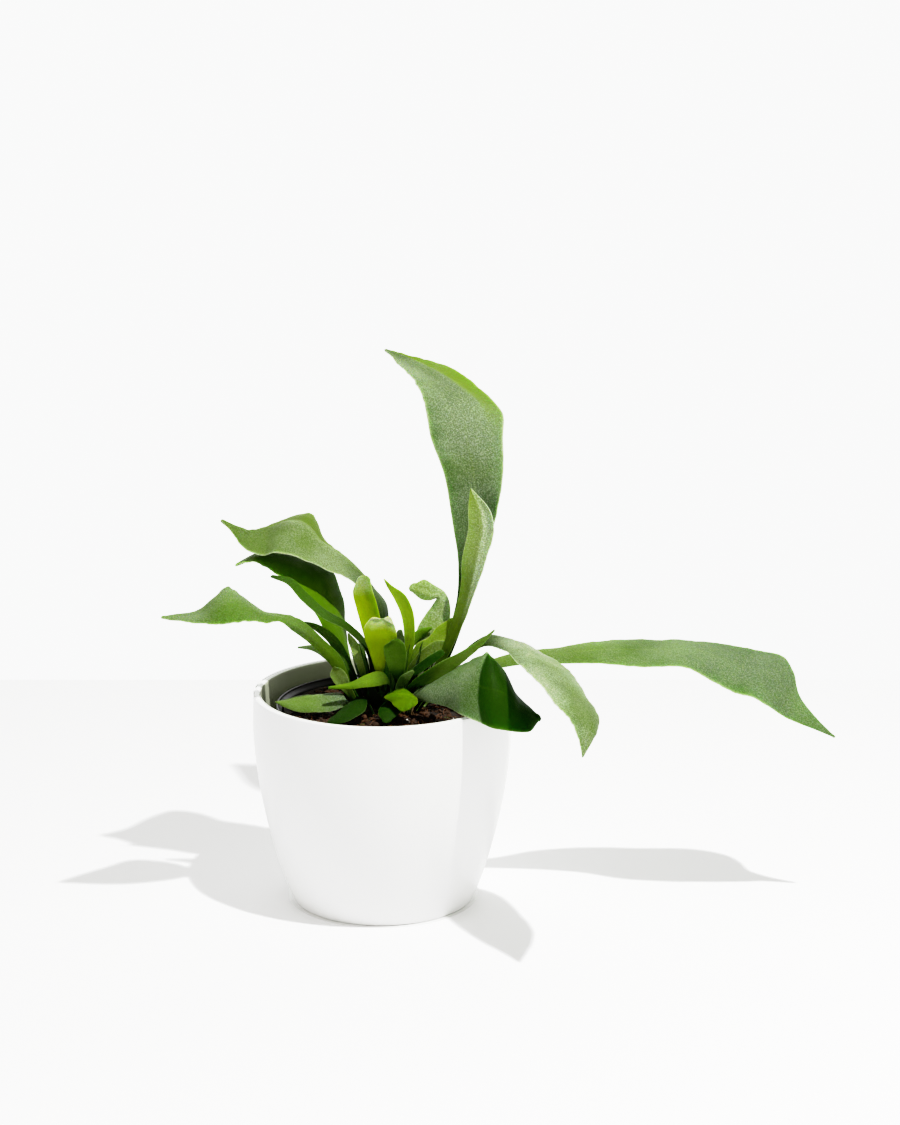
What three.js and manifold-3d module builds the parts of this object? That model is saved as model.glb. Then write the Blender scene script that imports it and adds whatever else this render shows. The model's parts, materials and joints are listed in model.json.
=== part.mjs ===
// A young staghorn fern in its black nursery pot, standing in a white glazed cover pot.
// Millimetres, +Z up. The origin is the centre of the cover pot's foot, which stands on the table.
// The pots are lathed. Each frond is lofted between its two margins, base to tip.
import * as THREE from "three";
import { mergeVertices } from "three/addons/utils/BufferGeometryUtils.js";
import Module from "manifold-3d";

const wasm = await Module();
wasm.setup();

// ---------- driving dimensions, mm ----------
const rimDiameter = 130; // cover pot, outside, at its widest
const potHeight = 108; // cover pot, foot to lip
const footDiameter = 93; // cover pot, flat foot
const glazeWall = 3.5; // cover pot wall
const potFloor = 5; // cover pot floor
const fingerGap = 8; // clear ring between the two pots at the top
const rimDrop = 6.5; // nursery rim below the cover pot's lip
const nurseryWall = 1.0; // black pot wall
const nurseryLip = 2.2; // how far its rolled rim stands out
const footGap = 4.2; // clear ring between the two pots at the foot
const floorRound = 4; // cover pot, slope where its wall meets its floor inside
const soilDrop = 3; // soil edge below the nursery rim
const soilDish = 2; // soil middle below its edge
const bladeThick = 1.5; // frond blade at its middle
const stalkThick = 2.8; // frond at its base
const slim = 0.7; // thickness of the small leaves against the large fronds'
const contact = 0.3; // gap kept between pieces that touch

// ---------- sizes that follow from them ----------
const rimRadius = rimDiameter / 2;
const footRadius = footDiameter / 2;
const bellyHeight = potHeight * 0.86;
const nurseryTop = potHeight - rimDrop;
const nurseryFoot = potFloor + contact;
const nurseryRim = rimRadius - glazeWall - fingerGap;
const nurseryTopWall = nurseryRim - nurseryLip;
const nurseryBottomWall = coverRadius(nurseryFoot) - glazeWall - footGap;
const soilEdge = nurseryTop - soilDrop;
const soilRadius = nurseryTopWall - nurseryWall - contact;
const clumpSoil = 50; // soil radius for which the clump's own sizes below are given
const growth = soilRadius / clumpSoil;
const crownZ = soilEdge - soilDish;
const crown = { x: 3, y: 3, wide: 21, deep: 13, high: 5 };

const glaze = { color: 0xf4f4f2, roughness: 0.16, metalness: 0 };
const blackPlastic = { color: 0x1a1a1b, roughness: 0.5, metalness: 0 };
const peat = { color: 0x2a1d15, roughness: 0.95, metalness: 0 };
const scales = { color: 0x5d4a31, roughness: 0.9, metalness: 0 };
const greyGreen = { color: 0x6f9160, roughness: 0.6, metalness: 0 };
const midGreen = { color: 0x4f8138, roughness: 0.55, metalness: 0 };
const deepGreen = { color: 0x2f5a24, roughness: 0.5, metalness: 0 };
const limeGreen = { color: 0x9cc455, roughness: 0.55, metalness: 0 };
const paleGreen = { color: 0xa9bf92, roughness: 0.65, metalness: 0 };

const plant = new THREE.Group();

function addMesh(name, geometry, look) {
  const mesh = new THREE.Mesh(geometry, new THREE.MeshStandardMaterial(look));
  mesh.name = name;
  plant.add(mesh);
  return mesh;
}

// ---------- solids ----------
function toSolid(geometry) {
  const bare = geometry.clone();
  bare.deleteAttribute("normal");
  bare.deleteAttribute("uv");
  const merged = mergeVertices(bare, 1e-4);
  const vertProperties = new Float32Array(merged.attributes.position.array);
  const triVerts = new Uint32Array(merged.index.array);
  return new wasm.Manifold(new wasm.Mesh({ numProp: 3, vertProperties, triVerts }));
}

function toGeometry(solid) {
  const mesh = solid.getMesh();
  const geometry = new THREE.BufferGeometry();
  geometry.setAttribute("position", new THREE.BufferAttribute(mesh.vertProperties, 3));
  geometry.setIndex(new THREE.BufferAttribute(mesh.triVerts, 1));
  geometry.computeVertexNormals();
  return geometry;
}

function lathe(profile, around) {
  const points = profile.map(([radius, height]) => new THREE.Vector2(radius, height));
  const geometry = new THREE.LatheGeometry(points, around);
  geometry.rotateX(Math.PI / 2);
  return geometry;
}

function arc(centre, radius, from, to, steps) {
  const points = [];
  for (let i = 0; i <= steps; i++) {
    const angle = THREE.MathUtils.degToRad(from + ((to - from) * i) / steps);
    points.push([centre[0] + radius * Math.cos(angle), centre[1] + radius * Math.sin(angle)]);
  }
  return points;
}

// ---------- cover pot ----------
// The outside runs in a full curve from the foot to the belly, then very slightly in to the lip.
function coverRadius(height) {
  const below = Math.max(0, 1 - height / bellyHeight);
  const above = Math.max(0, (height - bellyHeight) / (potHeight - bellyHeight));
  return rimRadius - (rimRadius - footRadius) * below ** 1.85 - 0.5 * above ** 2;
}

function coverPot() {
  const footRound = 1.2;
  const lip = glazeWall / 2;
  const lipHeight = potHeight - lip;
  const profile = [[0, 0], ...arc([coverRadius(0) - footRound, footRound], footRound, -90, -10, 3)];
  for (const share of [0.08, 0.17, 0.28, 0.4, 0.53, 0.67, 0.82]) {
    profile.push([coverRadius(share * potHeight), share * potHeight]);
  }
  profile.push(...arc([coverRadius(lipHeight) - lip, lipHeight], lip, 0, 180, 6));
  for (const share of [0.82, 0.6, 0.4, 0.24, 0.12]) {
    profile.push([coverRadius(share * potHeight) - glazeWall, share * potHeight]);
  }
  profile.push([coverRadius(potFloor) - glazeWall - floorRound, potFloor], [0, potFloor]);
  return lathe(profile, 48);
}

addMesh("cover_pot", coverPot(), glaze);

// ---------- nursery pot ----------
function nurseryRadius(height) {
  const share = (height - nurseryFoot) / (nurseryTop - nurseryFoot);
  return nurseryBottomWall + (nurseryTopWall - nurseryBottomWall) * share;
}

function nurseryPot() {
  const lipDepth = 7;
  const lipRound = 0.9;
  const floorTop = nurseryFoot + 1.5;
  const shoulder = nurseryTop - lipDepth;
  const profile = [
    [0, nurseryFoot],
    [nurseryRadius(nurseryFoot) - 1, nurseryFoot],
    [nurseryRadius(nurseryFoot), nurseryFoot + 1],
    [nurseryRadius(shoulder), shoulder],
    [nurseryRim - 0.4, shoulder + 0.4],
    ...arc([nurseryRim - lipRound, nurseryTop - lipRound], lipRound, 0, 90, 3),
    ...arc([nurseryTopWall - nurseryWall + lipRound, nurseryTop - lipRound], lipRound, 90, 180, 3),
    [nurseryRadius(shoulder) - nurseryWall, shoulder - 1],
    [nurseryRadius(floorTop) - nurseryWall, floorTop],
    [0, floorTop],
  ];
  let solid = toSolid(lathe(profile, 44));
  const holes = 6;
  const holeRadius = nurseryBottomWall * 0.11;
  for (let i = 0; i < holes; i++) {
    const drill = new THREE.CylinderGeometry(holeRadius, holeRadius, 8, 10);
    drill.rotateX(Math.PI / 2);
    const angle = ((i + 0.5) * 2 * Math.PI) / holes;
    const reach = nurseryBottomWall * 0.72;
    drill.translate(reach * Math.cos(angle), reach * Math.sin(angle), nurseryFoot);
    solid = solid.subtract(toSolid(drill));
  }
  return toGeometry(solid);
}

addMesh("nursery_pot", nurseryPot(), blackPlastic);

// ---------- fronds ----------
// Points of the clump are given from the middle of the soil's top, in mm of the nominal clump.
function clumpPoint([x, y, z]) {
  return new THREE.Vector3(x * growth, y * growth, crownZ + z * growth);
}

// Across a blade: the share of the way from left margin to right margin, on the upper side.
const upperShares = [-1, -0.5, 0, 0.5, 1];
const lowerShares = [0.5, 0, -0.5];

// A row of the blade: its two margins, which way is up from it and along it, and its thickness.
// cup > 0 lifts the middle above the margins, cup < 0 sinks it into a channel.
function bladeRow(left, right, along, thick, cup, lobe) {
  const across = right.clone().sub(left);
  const width = across.length();
  const up = across.clone().cross(along).normalize();
  const middle = left.clone().add(right).multiplyScalar(0.5);
  const point = (share, side) => {
    const rise = cup * width * (1 - share * share) + (side * thick * (1 - share * share)) / 2;
    const reach = lobe * width * (Math.abs(share) === 0.5 ? 1 : 0);
    return middle
      .clone()
      .addScaledVector(across, share / 2)
      .addScaledVector(up, rise)
      .addScaledVector(along, reach);
  };
  return [...upperShares.map((share) => point(share, 1)), ...lowerShares.map((share) => point(share, -1))];
}

// Rows of eight points make the skin. The base closes on its middle, the tip across its last row.
function skin(rows) {
  const around = rows[0].length;
  const base = rows[0].reduce((sum, p) => sum.add(p), new THREE.Vector3()).divideScalar(around);
  const positions = [base, ...rows.flat()].flatMap((p) => [p.x, p.y, p.z]);
  const at = (row, i) => 1 + row * around + (i % around);
  const faces = [];
  for (let i = 0; i < around; i++) {
    faces.push(0, at(0, i + 1), at(0, i));
  }
  for (let row = 0; row + 1 < rows.length; row++) {
    for (let i = 0; i < around; i++) {
      faces.push(at(row, i), at(row + 1, i + 1), at(row + 1, i));
      faces.push(at(row, i), at(row, i + 1), at(row + 1, i + 1));
    }
  }
  const end = rows.length - 1;
  const upper = [0, 1, 2, 3, 4];
  const lower = [0, 7, 6, 5, 4];
  for (let i = 0; i < 4; i++) {
    const [a, b, c, d] = [upper[i], upper[i + 1], lower[i + 1], lower[i]].map((k) => at(end, k));
    if (d !== a) faces.push(a, c, d);
    if (b !== c) faces.push(a, b, c);
  }
  const geometry = new THREE.BufferGeometry();
  geometry.setAttribute("position", new THREE.Float32BufferAttribute(positions, 3));
  geometry.setIndex(faces);
  geometry.computeVertexNormals();
  return geometry;
}

// A blade between its two margin curves, base to tip. thin is its thickness against a large
// frond's, and swell makes it larger all round, for the socket that it leaves in the crown.
function bladeGeometry(leftMargin, rightMargin, rowCount, { cup = 0.06, lobe = 0, thin = 1, swell = 0 }) {
  const rows = [];
  for (let i = 0; i <= rowCount; i++) {
    const t = i / rowCount;
    const left = leftMargin.getPoint(t);
    const right = rightMargin.getPoint(t);
    const ahead = Math.min(1, t + 0.01);
    const behind = Math.max(0, t - 0.01);
    const along = leftMargin.getPoint(ahead).add(rightMargin.getPoint(ahead));
    along.sub(leftMargin.getPoint(behind)).sub(rightMargin.getPoint(behind)).normalize();
    const spread = right.clone().sub(left).setLength(2 * swell);
    if (i === 0) {
      left.addScaledVector(along, -swell);
      right.addScaledVector(along, -swell);
    }
    const thick = THREE.MathUtils.lerp(stalkThick, bladeThick, Math.min(1, t * 2.5)) * thin * growth;
    const lobes = lobe * THREE.MathUtils.smoothstep(t, 0.72, 1);
    const bend = cup * Math.min(1, 3 * t);
    rows.push(bladeRow(left.sub(spread), right.add(spread), along, thick + 3 * swell, bend, lobes));
  }
  return skin(rows);
}

// A frond or leaf: pairs of points, left margin and right margin, from the base to the tip.
const sockets = [];

function frond(name, look, pairs, shape) {
  const left = new THREE.CatmullRomCurve3(pairs.map((pair) => clumpPoint(pair[0])));
  const right = new THREE.CatmullRomCurve3(pairs.map((pair) => clumpPoint(pair[1])));
  const rowCount = (pairs.length - 1) * 3;
  addMesh(name, bladeGeometry(left, right, rowCount, shape), look);
  sockets.push(toSolid(bladeGeometry(left, right, rowCount, { ...shape, swell: contact })));
}

// The two upright fronds.
frond("frond_tall", greyGreen, [
  [[14, 9, 3], [18, 9, 4]],
  [[25, 11, 18], [30, 11, 17]],
  [[37, 20, 51], [44, 18, 51]],
  [[38, 29, 72], [51, 24, 73]],
  [[35, 37, 91], [57, 31, 92]],
  [[31, 43, 113], [61, 38, 114]],
  [[24, 47, 132], [61, 46, 131]],
  [[21, 50, 148], [61, 58, 142]],
  [[17, 51, 158], [49, 76, 153]],
  [[10, 58, 165], [29, 89, 163]],
  [[0, 88, 170], [2, 90, 170]],
], { cup: -0.05 });

frond("frond_second", paleGreen, [
  [[15, 2, 3], [18, 1, 3]],
  [[24, 2, 19], [28, 1, 19]],
  [[35, 2, 47], [41, -4, 48]],
  [[39, 4, 63], [47, -3, 64]],
  [[40, 6, 78], [52, -1, 79]],
  [[43, 9, 92], [56, 3, 94]],
  [[43, 12, 102], [54, 8, 102]],
  [[44, 16, 111], [45, 16, 111]],
], { cup: -0.12 });

// The long frond that reaches out level to the right.
frond("frond_long", midGreen, [
  [[20, 6, 2], [21, 2, 2]],
  [[34, 5, 16], [35, 1, 15]],
  [[64, 4, 29], [65, -4, 25]],
  [[89, 6, 32], [90, -6, 27]],
  [[110, 16, 32.5], [112, -8, 27]],
  [[136, 21, 32], [131, -12, 26.5]],
  [[161, 20, 31.5], [150, -21, 29]],
  [[187.5, 20, 27.5], [173.5, -21, 16.5]],
  [[202.5, 12, 25.5], [183, -20, 13.5]],
  [[207, 4, 19.5], [191, -19, 9]],
  [[208.5, -4, 11], [201, -16, 1.5]],
  [[216, -10, 1], [212, -14, -3.5]],
  [[225.5, -13.5, -8.5], [225.5, -14.5, -9]],
], { cup: 0.04 });

// The frond that arches up and over towards the front right.
frond("frond_arching", greyGreen, [
  [[18, -1, 2], [17, -5, 2]],
  [[32, -4, 22], [30, -9, 20]],
  [[51, -10, 42], [49, -17, 38]],
  [[65, -18, 43], [59, -34, 42]],
  [[78, -32, 40], [66, -62, 43]],
  [[92, -44, 34], [73, -80, 41]],
  [[99, -64, 27], [82, -98, 34]],
  [[104, -90, 22], [90, -110, 27]],
  [[95, -117, 15], [94, -118, 15]],
], { cup: 0.06 });

// The broad frond that drapes over the rim at the front right.
frond("frond_over_rim", deepGreen, [
  [[14, -5, 2], [12.5, -8, 2]],
  [[15.5, -6.5, 10.5], [15, -10.5, 7]],
  [[21, -12, 16.5], [19, -18, 11]],
  [[30.5, -20, 24.5], [24, -28, 13]],
  [[41.5, -29, 34], [32, -38, 14]],
  [[49, -37, 40], [39, -49, 13.5]],
  [[52, -42, 43], [48, -59, 12.5]],
  [[54, -44, 41], [54.5, -65, 11.5]],
  [[60, -44, 34], [60.5, -65, 10.5]],
  [[65, -46, 24.5], [66.5, -63, 9]],
  [[70.5, -49, 19], [72.5, -60, 8.5]],
  [[75.5, -52, 15], [76.5, -54, 11.5]],
], { cup: 0.12 });

// The fronds that reach up and out to the left.
frond("frond_left_broad", greyGreen, [
  [[1, 11, 4], [4, 12, 4]],
  [[-4, 14, 19], [1, 18, 18]],
  [[-5, 14, 34], [3, 22, 36]],
  [[-7, 14, 51], [1, 30, 50]],
  [[-14, 9, 64], [-9, 36, 59]],
  [[-26, 4, 72], [-20, 40, 71]],
  [[-39, -1, 79], [-30, 42, 79]],
  [[-49, 0, 82], [-38, 48, 92]],
  [[-60, 4, 80], [-54, 54, 86]],
  [[-68, 8, 82], [-65, 44, 84]],
  [[-73, 12, 87], [-72, 28, 88]],
  [[-80, 15, 95], [-80, 17, 94]],
], { cup: 0.06 });

frond("frond_left_under", deepGreen, [
  [[-12, 5, 2], [-9, 8, 3]],
  [[-19, 4, 16], [-14, 8, 15]],
  [[-24, 2, 33], [-17, 12, 29]],
  [[-31, -1, 47], [-19, 18, 42]],
  [[-38, 0, 58], [-21, 26, 54]],
  [[-46, 1, 67], [-26, 32, 65]],
  [[-55, 4, 72], [-39, 34, 73]],
  [[-64, 6, 76], [-58, 30, 76]],
  [[-72, 9, 74], [-72, 11, 74]],
], { cup: 0.04 });

frond("frond_left_strap", midGreen, [
  [[-3, 1, 5], [0, 2, 5]],
  [[-5, 0, 21], [-2, 2, 23]],
  [[-9, -3, 34], [-8, 1, 37]],
  [[-18, -8, 45], [-18, -3, 48]],
  [[-29, -12, 52], [-28, -6, 55]],
  [[-39, -13, 61], [-37, -7, 64]],
  [[-46, -12, 69], [-44, -8, 71]],
  [[-54, -10, 72], [-53, -9, 73]],
], { cup: -0.08 });

frond("frond_left_low", midGreen, [
  [[-15, -1, 2], [-13, 2, 2]],
  [[-25, -11, 27], [-20, -7, 30]],
  [[-34, -17, 39], [-29, -12, 41]],
  [[-43, -22, 48], [-38, -16, 51]],
  [[-50, -27, 54], [-47, -15, 54]],
  [[-57, -31, 55], [-59, -7, 54]],
  [[-68, -35, 56], [-71, -7, 64]],
  [[-76, -36, 55], [-76, -11, 68]],
  [[-88, -36, 55], [-90, -17, 57]],
  [[-105, -35, 58], [-105, -33, 58]],
], { cup: 0.07 });

frond("frond_young_left", midGreen, [
  [[-11, 1, 4], [-9, 3, 4]],
  [[-19, -3, 24], [-15, 0, 25]],
  [[-27, -6, 38], [-22, -2, 39]],
  [[-35, -9, 46], [-32, -5, 47]],
  [[-44, -12, 49], [-43, -10, 50]],
], { cup: -0.12, thin: slim });

frond("leaf_left_small", greyGreen, [
  [[-19, 1, 1.5], [-18, 3, 1.5]],
  [[-19.5, 0.5, 12], [-18, 2, 13]],
  [[-21, -1, 19.5], [-19, 0, 22]],
  [[-28.5, -4, 28.5], [-27, -2.5, 32]],
  [[-34.5, -8, 34], [-34, -6.5, 36.5]],
  [[-41, -10, 36], [-41, -9, 36.5]],
], { cup: -0.1, thin: slim });

frond("leaf_left_round", paleGreen, [
  [[-12.5, -7, 3], [-10.5, -6, 3]],
  [[-16, -9, 9.5], [-13, -9, 10.5]],
  [[-20, -12, 15], [-15.5, -11, 17]],
  [[-24, -13, 19.5], [-17.5, -11, 22.5]],
  [[-25.5, -13, 23.5], [-20, -11, 25.5]],
  [[-24.5, -12, 25.5], [-22.5, -12, 26.5]],
], { cup: -0.2, thin: slim });

frond("leaf_inner_pale", limeGreen, [
  [[-7, 0, 4], [-5, 0, 4]],
  [[-9.5, -1, 15], [-7.5, -1, 15]],
  [[-12.5, -3, 24.5], [-8, -2, 24]],
  [[-15.5, -4, 33.5], [-9.5, -2, 31.5]],
  [[-17, -4, 38.5], [-12.5, -3, 37.5]],
  [[-17, -4, 41.5], [-16, -4, 41.5]],
], { cup: -0.12, thin: slim });

// The small upright leaves in the middle.
frond("leaf_lime_blunt", limeGreen, [
  [[-0.5, 5, 4], [2, 5, 4]],
  [[-5, 4, 19.5], [-1.5, 4, 19.5]],
  [[-7, 5, 30], [-1.5, 5, 31]],
  [[-10, 6, 41], [-0.5, 6, 43]],
  [[-13, 6, 53], [-2.5, 6, 54]],
  [[-14.5, 5, 61], [-4.5, 5, 61]],
  [[-12.5, 4, 67], [-5.5, 4, 66.5]],
], { cup: -0.16, thin: slim });

frond("leaf_lime_notched", limeGreen, [
  [[-0.5, -3, 4], [2, -3, 4]],
  [[-2, -3, 16.5], [0.5, -3, 16.5]],
  [[-4, -6, 25.5], [1.5, -6, 25.5]],
  [[-6.5, -8, 34.5], [3.5, -8, 35]],
  [[-8.5, -10, 41.5], [7.5, -9, 41]],
  [[-8.5, -10, 46.5], [8, -9, 46]],
  [[-6.5, -9, 49], [7.5, -9, 49.5]],
], { cup: -0.14, lobe: 0.12, thin: slim });

frond("leaf_lime_spear", limeGreen, [
  [[8, 1, 4], [10.5, 1, 4]],
  [[10, 1, 22.5], [13, 1, 22.5]],
  [[10.5, 1, 32], [15.5, 1, 32]],
  [[11, 1, 41], [16.5, 1, 40.5]],
  [[9.5, 2, 50], [15.5, 2, 51.5]],
  [[6, 3, 58], [11.5, 3, 60]],
  [[2.5, 4, 64], [5.5, 4, 64]],
  [[1, 4, 67.5], [1.5, 4, 67.5]],
], { cup: -0.14, thin: slim });

frond("leaf_centre_round", deepGreen, [
  [[5, -5, 4], [7.5, -5, 4]],
  [[6.5, -5, 16], [9.5, -5, 16]],
  [[3.5, -9, 25], [11.5, -8, 24.5]],
  [[1.5, -11, 32.5], [12.5, -9, 32]],
  [[1.5, -12, 37.5], [11.5, -10, 38]],
  [[4, -12, 39.5], [9.5, -10, 40]],
], { cup: -0.1, thin: slim });

frond("leaf_inner_grey", greyGreen, [
  [[3, -1, 4], [5.5, -1, 4]],
  [[4, -1, 19], [6.5, -1, 19]],
  [[4.5, -3, 30], [10, -2, 29.5]],
  [[5.5, -4, 38], [11.5, -3, 38]],
  [[7.5, -4, 42.5], [10.5, -4, 42.5]],
], { cup: -0.1, thin: slim });

// The small leaves behind and to the right of them.
frond("leaf_back_curled", greyGreen, [
  [[14, 13, 3], [18, 13, 3]],
  [[15.5, 11, 22], [20, 11, 21]],
  [[16.5, 13, 31], [27, 11, 27.5]],
  [[17.5, 16, 39], [33.5, 13, 34]],
  [[21.5, 19, 45.5], [34, 17, 42.5]],
  [[25.5, 20, 51], [34, 19, 50.5]],
  [[27, 19, 54], [31.5, 21, 56.5]],
  [[24, 17, 53.5], [25.5, 20, 61]],
  [[19.5, 15, 54.5], [21, 19, 64]],
  [[15, 14, 58.5], [17, 17, 62.5]],
], { cup: 0.08, thin: slim });

frond("leaf_back_lime", limeGreen, [
  [[11.5, 6, 4], [13.5, 6, 4]],
  [[13, 6, 23], [15.5, 6, 22]],
  [[17, 8, 33], [21, 7, 29.5]],
  [[23, 10, 36], [28.5, 8, 32]],
  [[27.5, 12, 41], [35, 10, 34.5]],
  [[33.5, 13, 44.5], [37.5, 12, 39]],
], { cup: -0.1, thin: slim });

frond("leaf_back_small", deepGreen, [
  [[7, 10, 4], [9.5, 10, 4]],
  [[10.5, 9, 26.5], [13, 9, 25.5]],
  [[14, 11, 34], [17, 11, 32.5]],
  [[16.5, 12, 38.5], [20, 12, 35.5]],
  [[20.5, 12, 40.5], [22.5, 12, 37.5]],
  [[24, 12, 41], [24.5, 12, 39.5]],
], { cup: 0.1, thin: slim });

frond("leaf_right_pale", paleGreen, [
  [[11.5, 3, 4], [13.5, 2.5, 4]],
  [[12, 3, 20], [14, 3, 18.5]],
  [[16.5, 3, 27.5], [19, 2, 25]],
  [[21.5, 4, 32.5], [24.5, 2, 28]],
  [[27, 5, 35.5], [29.5, 3, 30.5]],
  [[32, 5, 35.5], [33, 4, 32.5]],
], { cup: -0.12, thin: slim });

frond("leaf_right_dark", deepGreen, [
  [[11, -1.5, 4], [13, -2, 4]],
  [[10, -1, 18], [12, -2, 16.5]],
  [[16.5, -3, 24.5], [19, -5, 21.5]],
  [[23, -4, 30], [25, -6, 26.5]],
  [[28.5, -5, 33.5], [30.5, -6.5, 31]],
], { cup: -0.12, thin: slim });

frond("leaf_right_spear", midGreen, [
  [[8.5, -7, 4], [10.5, -8, 4]],
  [[13, -11, 16.5], [15, -12, 15]],
  [[21, -17, 25.5], [24.5, -19, 20.5]],
  [[29.5, -23, 32.5], [35, -26, 29]],
  [[39.5, -29, 39.5], [43.5, -32, 37.5]],
  [[48.5, -35, 47], [50.5, -36, 45.5]],
  [[55, -39, 53], [55.5, -39, 52.5]],
], { cup: -0.14, thin: slim });

// The leaves that lie low at the front.
frond("leaf_front_pad", midGreen, [
  [[-8, -9.5, 3], [-8.5, -7.5, 3]],
  [[-17, -12, 7.5], [-17.5, -11, 9.5]],
  [[-19, -15, 7], [-20, -9, 12]],
  [[-24, -17, 5.5], [-27, -8, 12.5]],
  [[-32.5, -18, 5], [-35.5, -6, 11]],
  [[-41.5, -16, 4.5], [-44, -6, 9.5]],
  [[-48, -13, 6], [-49.5, -7, 8.5]],
  [[-53, -10, 7.5], [-53, -9.5, 8]],
], { cup: 0.08, thin: slim });

frond("leaf_front_strip", limeGreen, [
  [[-1, -8.5, 3.5], [-3, -8, 3.5]],
  [[4, -10, 13], [2.5, -8.5, 15]],
  [[3, -13, 18], [1, -9, 23]],
  [[-2.5, -15, 17.5], [-4, -10, 23.5]],
  [[-8.5, -17, 17.5], [-9, -13, 22.5]],
  [[-15.5, -18, 17], [-15.5, -16, 20]],
  [[-25.5, -19, 17.5], [-25.5, -18, 18.5]],
], { cup: 0.06, thin: slim });

frond("leaf_front_dark", deepGreen, [
  [[-3.5, -12, 2.5], [-5.5, -11.5, 2.5]],
  [[-7, -13, 10], [-10, -12, 11]],
  [[-7, -18, 9], [-16, -15.5, 9.5]],
  [[-8.5, -23, 6.5], [-20.5, -19, 7]],
  [[-13.5, -27, 4.5], [-25, -23, 4]],
], { cup: 0.08, thin: slim });

frond("leaf_front_bright", midGreen, [
  [[4.5, -9, 4], [6.5, -9, 4]],
  [[7.5, -10, 18], [11, -9.5, 16]],
  [[10, -12, 22.5], [14, -12, 20]],
  [[14.5, -12, 25], [16, -12, 23.5]],
], { cup: -0.1, thin: slim });

frond("leaf_front_lobed", limeGreen, [
  [[9.5, -12, 3], [7, -12, 3]],
  [[10.5, -13, 14.5], [7, -13, 14]],
  [[13.5, -17, 16], [4.5, -17, 14.5]],
  [[16.5, -21, 15], [1.5, -21, 13.5]],
  [[18, -24, 14], [5, -23, 12]],
  [[18, -26, 12], [6, -25, 11]],
  [[15, -28, 10.5], [9, -28, 9.5]],
], { cup: 0.08, thin: slim });

frond("leaf_front_tip", deepGreen, [
  [[3.5, -12.5, 2.5], [1.5, -12.5, 2.5]],
  [[5, -14, 9], [2, -14, 9]],
  [[8, -19, 8], [-0.5, -19, 8]],
  [[8.5, -25, 6], [-1.5, -24, 6]],
  [[5.5, -28, 4.5], [0.5, -28, 4.5]],
], { cup: 0.08, thin: slim });

// ---------- crown and potting mix ----------
function lumpyDome(margin) {
  const geometry = new THREE.SphereGeometry(1, 22, 12);
  const position = geometry.attributes.position;
  for (let i = 0; i < position.count; i++) {
    const p = new THREE.Vector3().fromBufferAttribute(position, i);
    const lump = 1 + 0.06 * Math.sin(5 * p.x + 1) * Math.cos(4 * p.y) + 0.04 * Math.sin(7 * p.z + 3 * p.x);
    const size = [crown.wide, crown.deep, crown.high].map((half) => half * lump * growth + margin);
    position.setXYZ(i, p.x * size[0], p.y * size[1], p.z * size[2]);
  }
  geometry.translate(crown.x * growth, crown.y * growth, crownZ);
  return toSolid(geometry);
}

function rhizome() {
  let solid = lumpyDome(0);
  for (const socket of sockets) {
    solid = solid.subtract(socket);
  }
  return toGeometry(solid);
}

// The mix fills the nursery pot to a little under its rim and dips slightly towards the crown.
function pottingMix() {
  const bottom = nurseryFoot + 1.5 + contact;
  const side = (height) => nurseryRadius(height) - nurseryWall - contact;
  const profile = [
    [0, bottom],
    [side(bottom) - 0.5, bottom],
    [side(bottom), bottom + 1],
    [side(soilEdge), soilEdge],
  ];
  for (const share of [0.9, 0.75, 0.6, 0.45, 0.3, 0.15, 0]) {
    profile.push([share * side(soilEdge), soilEdge - soilDish * (1 - share * share)]);
  }
  const geometry = lathe(profile, 32);
  return toGeometry(toSolid(geometry).subtract(lumpyDome(contact)));
}

addMesh("rhizome", rhizome(), scales);
addMesh("potting_mix", pottingMix(), peat);

export default plant;
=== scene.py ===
"""A young staghorn fern in its black nursery pot, standing in a white glazed cover pot.

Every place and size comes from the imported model. Each frond is made again as a fine blade that
follows the rows of its own CAD solid, and the pots are turned from the outlines of theirs.
Metres, +Z up; the origin is the centre of the cover pot's foot.
"""
import json
import math
import random

import bpy
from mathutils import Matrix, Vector, noise


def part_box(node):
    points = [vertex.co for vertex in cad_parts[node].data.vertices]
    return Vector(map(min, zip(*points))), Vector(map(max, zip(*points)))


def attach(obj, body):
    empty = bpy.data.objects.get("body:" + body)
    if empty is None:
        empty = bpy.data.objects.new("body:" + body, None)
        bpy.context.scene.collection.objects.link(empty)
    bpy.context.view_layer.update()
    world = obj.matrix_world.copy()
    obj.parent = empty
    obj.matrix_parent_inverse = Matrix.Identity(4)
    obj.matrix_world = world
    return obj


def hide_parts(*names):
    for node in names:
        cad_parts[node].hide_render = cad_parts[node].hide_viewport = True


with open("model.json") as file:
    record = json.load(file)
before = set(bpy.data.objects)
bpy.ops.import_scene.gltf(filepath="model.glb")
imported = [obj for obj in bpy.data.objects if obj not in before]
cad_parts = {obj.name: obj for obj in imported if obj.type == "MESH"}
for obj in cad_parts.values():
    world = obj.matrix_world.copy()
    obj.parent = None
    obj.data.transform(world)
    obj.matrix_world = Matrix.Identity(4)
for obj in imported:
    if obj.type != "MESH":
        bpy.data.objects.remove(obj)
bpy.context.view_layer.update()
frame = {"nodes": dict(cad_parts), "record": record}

MM = 0.001
UP = Vector((0, 0, 1))


# ---------------------------------------------------------------- small helpers
def smoothstep(low, high, value):
    share = min(1.0, max(0.0, (value - low) / (high - low)))
    return share * share * (3 - 2 * share)


def catmull(a, b, c, d, t):
    """The point at t between b and c on a smooth curve through a, b, c and d."""
    return 0.5 * (
        2 * b + (c - a) * t + (2 * a - 5 * b + 4 * c - d) * t * t + (3 * b - a - 3 * c + d) * t * t * t
    )


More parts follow.
